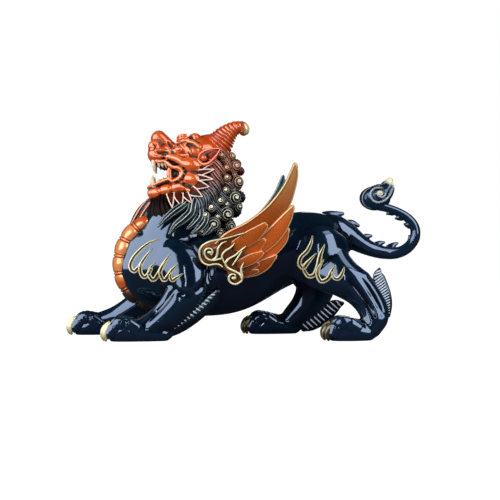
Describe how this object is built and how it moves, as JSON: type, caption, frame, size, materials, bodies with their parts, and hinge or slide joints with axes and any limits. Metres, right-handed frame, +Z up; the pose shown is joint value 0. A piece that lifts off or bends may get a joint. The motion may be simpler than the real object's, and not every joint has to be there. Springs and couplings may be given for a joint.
{
  "type": "pixiu figure",
  "caption": "Winged one-horned pixiu crouching on its forelegs with raised head, open mouth, snail-curl mane, ribbed belly, flame relief and a curled spiked tail.",
  "frame": {"origin": "middle of the figure's bounding box at the level of its soles", "axes": "+Z up, the muzzle towards -X, the tail towards +X, the figure's left flank towards -Y"},
  "size_m": [0.3022, 0.1082, 0.181],
  "materials": {
    "lacquered_bronze": "gloss navy lacquer on cast bronze, orange face and wings, pale gold relief"
  },
  "bodies": {
    "root": {"pixiu": "lacquered_bronze"}
  },
  "joints": []
}
